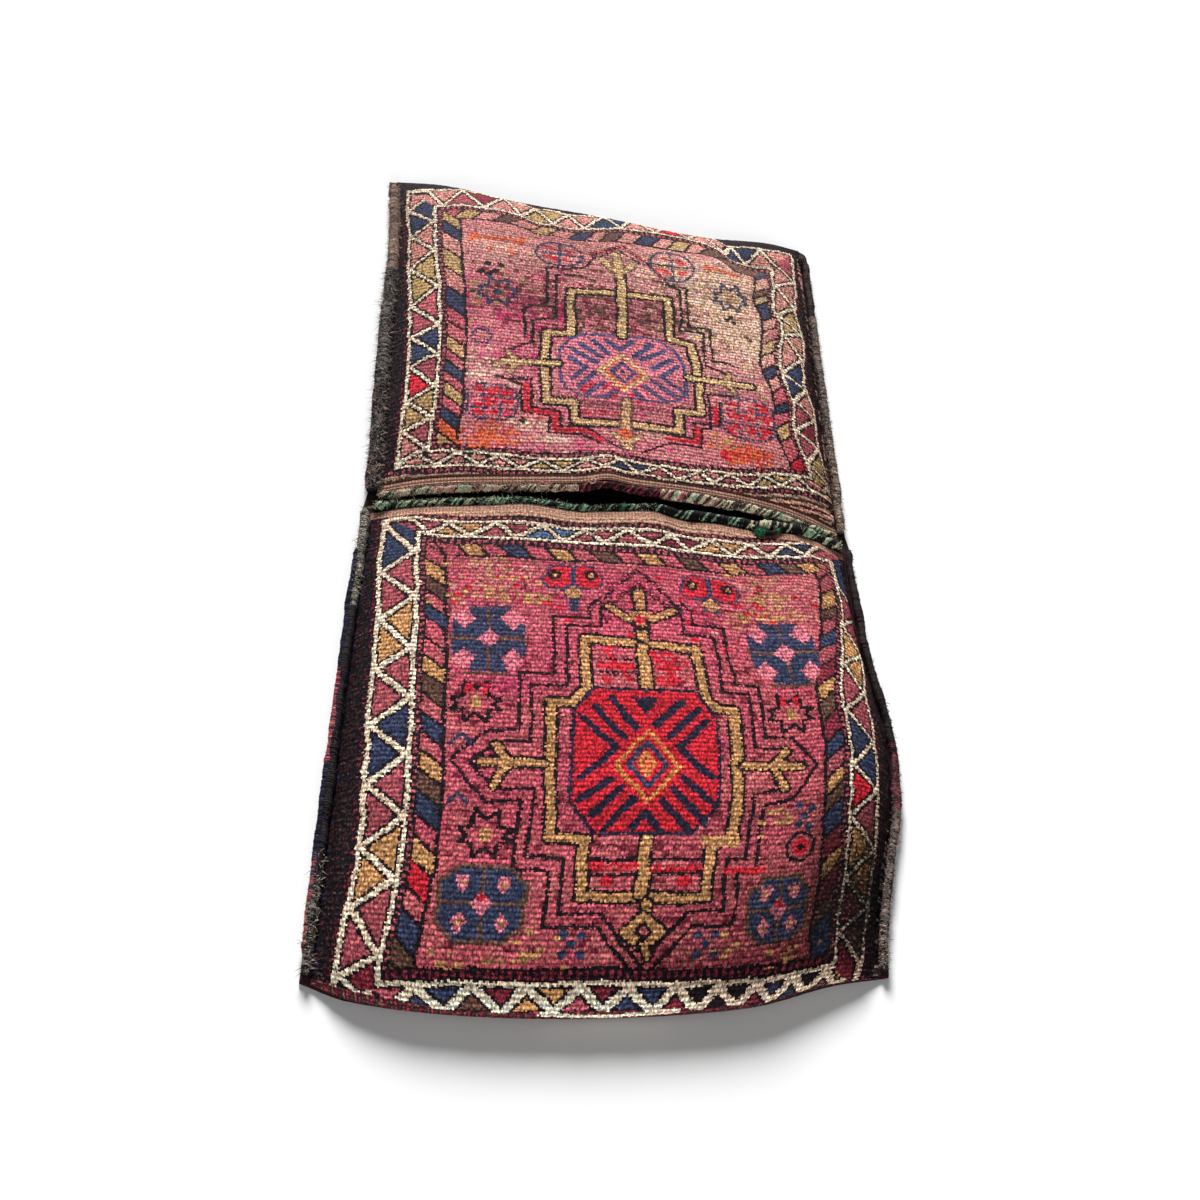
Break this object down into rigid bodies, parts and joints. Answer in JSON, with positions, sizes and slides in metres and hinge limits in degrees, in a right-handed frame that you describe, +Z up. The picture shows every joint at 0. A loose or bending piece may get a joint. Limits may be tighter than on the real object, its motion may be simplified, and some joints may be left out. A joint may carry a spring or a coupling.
{
  "type": "pile saddlebag",
  "caption": "Double saddlebag lying flat: knotted pile faces form a pouch at each end of one flat-woven back, sewn along the sides, with bound mouths facing each other over a short bridge.",
  "frame": {"origin": "on the ground, under the middle of the whole bag", "axes": "+X across the bag to the right, +Y along it from the lower pouch to the upper one, +Z up"},
  "size_m": [0.57, 1.1232, 0.0512],
  "materials": {
    "pile": "knotted wool pile, matt with a soft sheen",
    "flatweave": "ribbed flat weave, matt",
    "goat_hair": "overcast goat hair, coarse",
    "wrapping": "wrapped wool yarn, matt"
  },
  "bodies": {
    "root": {"back_panel": "flatweave", "lower_face": "pile", "upper_face": "pile", "lower_left_seam": "goat_hair", "lower_right_seam": "goat_hair", "upper_left_seam": "goat_hair", "upper_right_seam": "goat_hair", "lower_mouth_binding": "wrapping", "upper_mouth_binding": "wrapping"}
  },
  "joints": []
}
